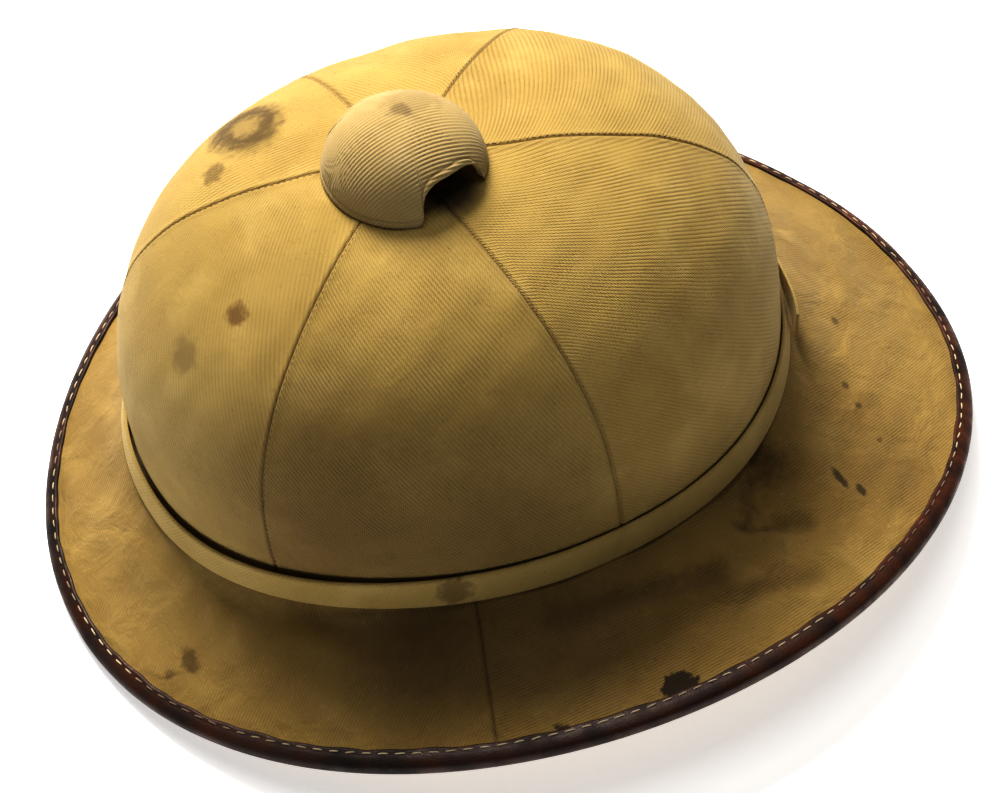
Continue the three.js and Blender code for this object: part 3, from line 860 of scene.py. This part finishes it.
def makeBinding():
    around = np.arange(0, 360, 0.5)[:, None]
    depth = layers["cloth"] + layers["gap"] + layers["brimEdge"]
    gap, thick, cover, nose = layers["gap"], binding["thick"], binding["cover"], binding["nose"]
    lift = gap * 2
    outer = np.array([
        [-cover - 0.0002, lift + thick * 0.35],
        [-cover, lift + thick * 0.75],
        [-cover * 0.86, lift + thick * 0.98],
        [-cover * 0.72, lift + thick * 0.86],  # pulled in along the stitches
        [-cover * 0.56, lift + thick * 0.98],
        [-cover * 0.3, lift + thick * 1.0],
        [0.0, gap + thick * 0.95],
        [nose * 0.55, gap + thick * 0.5],
        [nose * 0.88, -depth * 0.12],
        [nose, -depth * 0.45],
        [nose * 0.94, -depth * 0.85],
        [nose * 0.7, -depth - gap * 1.5],
        [nose * 0.1, -depth - gap - thick * 0.9],
        [-cover * 0.35, -depth - gap - thick * 0.95],
        [-cover * 0.72, -depth - gap - thick * 0.82],
        [-cover, -depth - gap - thick * 0.7],
    ])
    inner = np.array([
        [-cover, lift],
        [-cover * 0.86, lift],
        [-cover * 0.72, lift],
        [-cover * 0.56, lift],
        [-cover * 0.3, gap * 1.4],
        [0.0, gap],
        [gap * 0.8, gap * 0.6],
        [gap, gap * 0.2],
        [gap, -depth * 0.2],
        [gap, -depth * 0.45],
        [gap, -depth * 0.85],
        [gap * 0.9, -depth - gap * 0.3],
        [gap * 0.5, -depth - gap * 0.8],
        [-cover * 0.35, -depth - gap],
        [-cover * 0.72, -depth - gap],
        [-cover, -depth - gap],
    ])[::-1]
    turn = np.radians(around)
    wobble = np.sin(23 * turn + 1.3) * np.sin(7 * turn) + 0.6 * np.sin(61 * turn + 0.4 * np.sin(9 * turn))
    shape = np.concatenate([outer, inner])
    inward = (shape[:, 0] < -cover * 0.5) * 1.0
    out = shape[None, :, 0] + wobble * binding["uneven"] * inward[None, :]
    up = np.broadcast_to(shape[None, :, 1], out.shape)
    piece = loft("leatherBinding", besideEdge(around, out, up), closedRound=True, sharp=60)
    place(piece, leatherMaterial(), "brim_binding")
    return piece


def makeBindingStitches():
    around = np.append(np.arange(0, 360, 0.25), 360.0)
    depth = layers["cloth"] + layers["gap"] * 2 + layers["brimEdge"]
    top = layers["gap"] * 2 + binding["thick"] * 0.9
    bottom = -depth - binding["thick"] * 0.85
    pitch, length = bindingStitch["pitch"], bindingStitch["length"]
    inset = np.full(around.shape, -bindingStitch["inset"])
    runs = []
    for height, side in ((top, 1), (bottom, -1)):
        line = besideEdge(around, inset, np.full(around.shape, height))
        up = skinNormal(brimSkin, around, 1.0, 0, 1) * side
        runs.append(stitchLine(line, up, pitch, length, 0.0, 0.00009, 7 + side))
    starts, ends, normals = [np.vstack(column) for column in zip(*runs)]
    piece = threadRun("bindingStitches", starts, ends, normals, bindingStitch["radius"], 0.0003)
    thread = threadMaterial("cream thread", (0.62, 0.51, 0.34), (0.20, 0.13, 0.07), 0.045)
    place(piece, thread, None)
    return piece


makeBinding()
makeBindingStitches()
print("binding made")

# Ventilator cap: a twill-covered dome with an arch on each side, over a plain collar.
vent = {
    "radius": 0.0265,
    "height": 0.019,
    "wall": 0.0022,
    "power": 2.2,
    "round": 76,
    "archWidth": 0.0255,
    "archHeight": 0.0105,
    "archPower": 3,
    "archDrop": 0.003,
    "archCorner": 0.003,
    "ribPitch": 0.0013,
    "ribHeight": 0.0003,
    "ribTurn": 0,  # bearing across the ribs, degrees from +X
    "hem": 0.0026,  # height of the sewn hem above the rim
}
capLook = dict(crownLook, name="cap twill", light=(0.500, 0.390, 0.190), mid=(0.455, 0.340, 0.145),
               dark=(0.410, 0.300, 0.120), crumple=0.0003, bump=0.35, fleck=0.35, paintedGrooveShade=0.45)
# marks on the cap
capMarks = [
    {"at": (-0.012, -0.0355, 0.1678), "size": 0.005, "strength": 0.5, "tint": grimeAndShade},
    {"at": (-0.016, -0.030, 0.168), "size": 0.012, "strength": 0.25, "tint": grimeAndShade},
]


def capDome(around, share, radius, height):
    peak = crownTop(np.array(0.0), 0.0)[2]
    rim = crownTop(around, vent["radius"])[..., 2] + layers["gap"]
    points = crownTop(around, radius * share)
    points[..., 2] = rim + (peak - rim + height) * np.maximum(1 - share ** vent["power"], 0) ** 0.5
    return points


# where the dome meets the arch's cut, as a share of the way from the top to the rim
def archShare(around, radius, height):
    middle = crownTop(np.array(0.0), 0.0)
    turn = math.radians(vent["round"])
    across = np.array([math.cos(turn), -math.sin(turn)])  # sideways of the arches
    tall = vent["archHeight"] + vent["archDrop"]
    shares = np.linspace(0.3, 1, 700)[None, :]
    points = capDome(around, shares, radius, height)
    halfWidth, power, fillet = vent["archWidth"] / 2, vent["archPower"], vent["archCorner"]
    t = np.abs((points[..., :2] - middle[:2]) @ across) / halfWidth
    roof = middle[2] - vent["archDrop"] + tall * np.maximum(1 - t**power, 0) ** (1 / power)
    # beside the arch the rim's corners are rounded off
    beside = np.clip((t - 1) * halfWidth / fillet, 0, 1)
    corner = fillet * (1 - np.sqrt(1 - (1 - beside) ** 2))
    corner = np.where(beside < 1, crownTop(around, radius)[..., 2] + layers["gap"] + corner, -1)
    cut = points[..., 2] < np.where(t < 1, roof, corner)
    first = np.where(cut.any(1), cut.argmax(1), shares.shape[1] - 1)
    return shares[0][first][:, None]


# The cap's ribs, laid flat from its top: their weave, and how far they stand up.
# They are worn smooth on one side.
def capRibs(flat):
    turn = math.radians(vent["ribTurn"])
    across = flat[..., 0] * math.cos(turn) + flat[..., 1] * math.sin(turn)
    along = flat[..., 1] * math.cos(turn) - flat[..., 0] * math.sin(turn)
    fresh = smooth((flat[..., 0] * 0.8 - flat[..., 1] * 0.4) / 0.02 + 0.55)
    sway = 0.12 * np.sin(along * 260 + across * 90) + 0.1 * np.sin(along * 95 + 1.2)
    rib = np.abs(np.sin(math.pi * (across / vent["ribPitch"] + sway))) ** 0.8
    height = vent["ribHeight"] * (rib - 0.6) * (0.1 + 0.9 * fresh)
    return np.stack([along, across], -1) / vent["ribPitch"], height


def capNormal(outside, top):
    normal = unit(np.cross(np.gradient(outside, axis=1), np.gradient(outside, axis=0)))
    outward = (normal * (outside - top + np.array([0, 0, 0.02]))).sum(-1, keepdims=True)
    normal = np.where(outward < 0, -normal, normal)
    normal[:, :3] = [0, 0, 1]  # the rings close in on the top
    return normal


def makeCap():
    around = np.arange(0, 360, 0.9)[:, None]
    row = np.linspace(0, 1, 104)[None, :]
    reach = np.sin(row * math.pi / 2) ** 0.95
    radius, height, wall = vent["radius"], vent["height"], vent["wall"]
    outside = capDome(around, reach * archShare(around, radius, height), radius, height)
    steps = np.linalg.norm(np.diff(outside, axis=1), axis=-1)
    distance = np.concatenate([np.zeros((len(around), 1)), np.cumsum(steps, axis=1)], 1)
    top = crownTop(np.array(0.0), 0.0)
    bearing = np.arctan2(outside[:, -1:, 1] - top[1], outside[:, -1:, 0] - top[0])
    weave, ribs = capRibs(np.stack([distance * np.cos(bearing), distance * np.sin(bearing)], -1))
    toLip = distance[:, -1:] - distance
    hem = 0.00025 * bell(toLip - vent["hem"] * 0.5, 0.0009) - 0.0003 * bell(toLip - vent["hem"], 0.00045)
    relief = (ribs + hem) * smooth((1 - row) / 0.02)
    outside = outside + capNormal(outside, top) * relief[..., None]
    # the inner face needs fewer rows
    coarse = np.append(np.arange(0, row.shape[1] - 1, 6), row.shape[1] - 1)
    innerShare = reach[:, coarse] * archShare(around, radius - wall, height - wall)
    inside = capDome(around, innerShare, radius - wall, height - wall)
    edge = np.stack([0 * toLip + 0.01, weave[..., 0] * vent["ribPitch"]], -1)
    closed = lambda values: wrapped(values, values[:, coarse])[np.r_[:len(values), 0]]
    maps = {"weave": closed(weave), "edge": closed(edge)}
    piece = loft("ventCapCloth", wrapped(outside, inside), closedRound=True, maps=maps)
    place(piece, clothMaterial(capLook, capMarks), "vent_cap")
    return piece


def collarMaterial():
    material, tree, shader = newMaterial("collar wood", 0.75)
    where = add(tree, "TexCoord").outputs["Object"]
    stretched = add(tree, "Mapping", {"Vector": where, "Scale": (1, 1, 0.15)}).outputs[0]
    tone = spread(tree, noise(tree, stretched, 0.002, 4.0), 0.3, 0.7)
    colour = mixed(tree, tone, (0.12, 0.075, 0.035), (0.22, 0.14, 0.07))
    tree.links.new(colour, shader.inputs["Base Color"])
    grain = noise(tree, stretched, 0.001, 3.0)
    bump = add(tree, "Bump", {"Height": grain, "Strength": 0.4, "Distance": 0.0002})
    tree.links.new(bump.outputs[0], shader.inputs["Normal"])
    return material


makeCap()
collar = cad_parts["vent_collar"]
collar.data.materials.clear()
collar.data.materials.append(collarMaterial())
print("ventilator made")

# Floor, lights and camera.
viewCamera = {
    "at": (0.4575, -0.2826, 0.6745),
    "aim": (0.04134, -0.02973, 0.08),
    "roll": 1.07,
    "lens": 84.22,
}
lights = [
    {"name": "keyPanel", "at": (-0.70, 0.03, 1.00), "size": 0.45, "power": 22,
     "colour": (1.0, 0.96, 0.90)},
    {"name": "topPanel", "at": (-0.10, 0.00, 1.30), "size": 0.6, "power": 4.4,
     "colour": (1.0, 0.98, 0.95)},
    {"name": "fillPanel", "at": (0.9, -0.8, 0.6), "size": 1.2, "power": 0.35,
     "colour": (0.97, 0.98, 1.0)},
]
room = {"floor": (0.92, 0.92, 0.92), "air": (1.0, 0.99, 0.97), "airPower": 0.035, "floorGlow": 0.5,
        "exposure": 0.33, "gamma": 0.73}


def makeStage():
    mesh = bpy.data.meshes.new("paleFloor")
    mesh.from_pydata([(-4, -4, 0), (4, -4, 0), (4, 4, 0), (-4, 4, 0)], [], [(0, 1, 2, 3)])
    floor = bpy.data.objects.new("paleFloor", mesh)
    bpy.context.scene.collection.objects.link(floor)
    material, tree, shader = newMaterial("pale floor", 0.8)
    shader.inputs["Base Color"].default_value = (*room["floor"], 1)
    shader.inputs["Emission Color"].default_value = (1, 1, 1, 1)
    shader.inputs["Emission Strength"].default_value = room["floorGlow"]
    mesh.materials.append(material)
    for light in lights:
        data = bpy.data.lights.new(light["name"], "AREA")
        data.size = light["size"]
        data.energy = light["power"]
        data.color = light["colour"]
        lamp = bpy.data.objects.new(light["name"], data)
        bpy.context.scene.collection.objects.link(lamp)
        lamp.location = light["at"]
        lamp.rotation_euler = (Vector((0, 0, 0.08)) - lamp.location).to_track_quat("-Z", "Y").to_euler()
    world = bpy.data.worlds.new("studio air")
    world.use_nodes = True
    world.node_tree.nodes["Background"].inputs["Color"].default_value = (*room["air"], 1)
    world.node_tree.nodes["Background"].inputs["Strength"].default_value = room["airPower"]
    bpy.context.scene.world = world
    view = bpy.context.scene.view_settings
    view.view_transform = "Standard"
    view.exposure = room["exposure"]
    view.gamma = room["gamma"]


def makeCamera():
    data = bpy.data.cameras.new("viewCamera")
    data.lens = viewCamera["lens"]
    data.sensor_width = 36
    data.clip_start = 0.01
    camera = bpy.data.objects.new("viewCamera", data)
    bpy.context.scene.collection.objects.link(camera)
    at = Vector(viewCamera["at"])
    facing = (Vector(viewCamera["aim"]) - at).to_track_quat("-Z", "Y").to_matrix().to_4x4()
    roll = Matrix.Rotation(math.radians(viewCamera["roll"]), 4, "Z")
    camera.matrix_world = Matrix.Translation(at) @ facing @ roll
    bpy.context.scene.camera = camera


makeStage()
makeCamera()
print("stage set")
